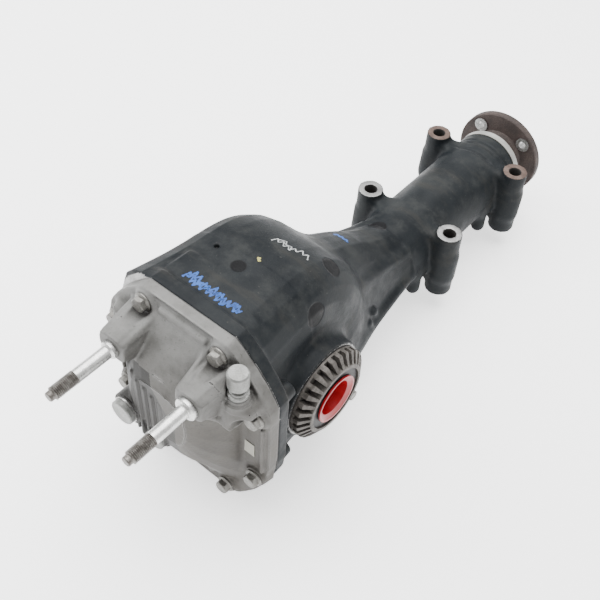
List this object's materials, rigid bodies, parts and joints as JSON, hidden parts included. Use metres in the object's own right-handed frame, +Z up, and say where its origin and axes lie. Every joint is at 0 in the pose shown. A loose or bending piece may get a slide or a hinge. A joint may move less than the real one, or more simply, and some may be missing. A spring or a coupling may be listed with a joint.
{
  "type": "differential gear assembly",
  "caption": "Hypoid final drive with a bevel differential, long bolted nose, input flange and ribbed rear cover.",
  "frame": {"origin": "middle of the bounding box, on the surface the assembly stands on", "axes": "+Y from the rear cover along the nose to the input flange, +X along the axle, +Z up"},
  "size_m": [0.186, 0.621, 0.2155],
  "materials": {
    "carrier_iron": "worn dark paint over rough cast iron",
    "cover_alloy": "weathered sand-cast aluminium",
    "retainer_iron": "machined cast iron with brown dust",
    "case_iron": "machined cast iron",
    "rusty_iron": "brown surface rust",
    "gear_steel": "ground and lapped",
    "bearing_steel": "ground",
    "bright_steel": "bright",
    "zinc_steel": "zinc plated, dulled",
    "fastener_steel": "dulled plating",
    "soft_alloy": "satin",
    "seal_rubber": "matt black",
    "sealant": "cured sealant",
    "plug_red": "glossy moulded red plastic",
    "label_card": "plain cream label"
  },
  "bodies": {
    "housing": {"breather_cap": "zinc_steel", "breather_stem": "bright_steel", "carrier_housing": "carrier_iron", "cover_bolts": "fastener_steel", "cover_gasket": "sealant", "drain_plug": "zinc_steel", "drain_plug_gasket": "soft_alloy", "fill_plug": "zinc_steel", "fill_plug_gasket": "soft_alloy", "front_oil_seal": "seal_rubber", "lock_plate_bolt_left": "fastener_steel", "lock_plate_bolt_right": "fastener_steel", "lock_plate_left": "zinc_steel", "lock_plate_right": "zinc_steel", "part_label": "label_card", "pilot_bearing_outer": "bearing_steel", "pinion_front_bearing_cup": "bearing_steel", "pinion_rear_bearing_cup": "bearing_steel", "rear_cover": "cover_alloy", "retainer_o_ring_left": "seal_rubber", "retainer_o_ring_right": "seal_rubber", "side_bearing_cup_left": "bearing_steel", "side_bearing_cup_right": "bearing_steel", "side_retainer_left": "retainer_iron", "side_retainer_right": "retainer_iron", "side_seal_left": "seal_rubber", "side_seal_right": "seal_rubber", "stud_left": "bright_steel", "stud_right": "bright_steel"},
    "ring_gear_case": {"differential_case": "case_iron", "ring_gear": "gear_steel", "ring_gear_bolts": "fastener_steel", "pinion_mate_shaft": "gear_steel", "shaft_lock_pin": "bearing_steel", "side_bearing_cone_left": "bearing_steel", "side_bearing_cone_right": "bearing_steel", "side_gear_washer_left": "gear_steel", "side_gear_washer_right": "gear_steel", "mate_gear_washer_upper": "gear_steel", "mate_gear_washer_lower": "gear_steel"},
    "input_pinion": {"drive_pinion": "gear_steel", "pinion_rear_bearing_cone": "bearing_steel", "pinion_front_bearing_cone": "bearing_steel", "collapsible_spacer": "bearing_steel", "nose_spacer": "bearing_steel", "pilot_bearing_inner": "bearing_steel", "pinion_head_shim": "gear_steel", "companion_flange": "rusty_iron", "flange_bushes": "bright_steel", "dust_deflector": "zinc_steel", "pinion_washer": "fastener_steel", "pinion_nut": "fastener_steel"},
    "left_side_gear": {"side_gear_left": "gear_steel"},
    "right_side_gear": {"side_gear_right": "gear_steel"},
    "upper_mate_gear": {"pinion_mate_gear_upper": "gear_steel"},
    "lower_mate_gear": {"pinion_mate_gear_lower": "gear_steel"},
    "left_plug": {"transport_plug_left": "plug_red"},
    "right_plug": {"transport_plug_right": "plug_red"}
  },
  "joints": [
    {"name": "ring_spin", "type": "hinge", "parent": "housing", "child": "ring_gear_case", "pos_m": [0, -0.1265, 0.107], "axis": [1, 0, 0], "continuous": true},
    {"name": "input_spin", "type": "hinge", "parent": "housing", "child": "input_pinion", "pos_m": [0, -0.1265, 0.065], "axis": [0, 1, 0], "continuous": true},
    {"name": "left_output_spin", "type": "hinge", "parent": "ring_gear_case", "child": "left_side_gear", "pos_m": [0, -0.1265, 0.107], "axis": [1, 0, 0], "continuous": true},
    {"name": "right_output_spin", "type": "hinge", "parent": "ring_gear_case", "child": "right_side_gear", "pos_m": [0, -0.1265, 0.107], "axis": [1, 0, 0], "continuous": true},
    {"name": "upper_mate_spin", "type": "hinge", "parent": "ring_gear_case", "child": "upper_mate_gear", "pos_m": [0, -0.1265, 0.107], "axis": [0, 0, 1], "continuous": true},
    {"name": "lower_mate_spin", "type": "hinge", "parent": "ring_gear_case", "child": "lower_mate_gear", "pos_m": [0, -0.1265, 0.107], "axis": [0, 0, 1], "continuous": true},
    {"name": "left_plug_pull", "type": "slide", "parent": "housing", "child": "left_plug", "axis": [-1, 0, 0], "range_m": [0, 0.06]},
    {"name": "right_plug_pull", "type": "slide", "parent": "housing", "child": "right_plug", "axis": [1, 0, 0], "range_m": [0, 0.06]}
  ],
  "couplings": [
    {"joint": "input_spin", "follows": "ring_spin", "ratio": 3.9},
    {"joint": "right_output_spin", "follows": "left_output_spin", "ratio": -1},
    {"joint": "upper_mate_spin", "follows": "left_output_spin", "ratio": 1.6},
    {"joint": "lower_mate_spin", "follows": "left_output_spin", "ratio": -1.6}
  ]
}
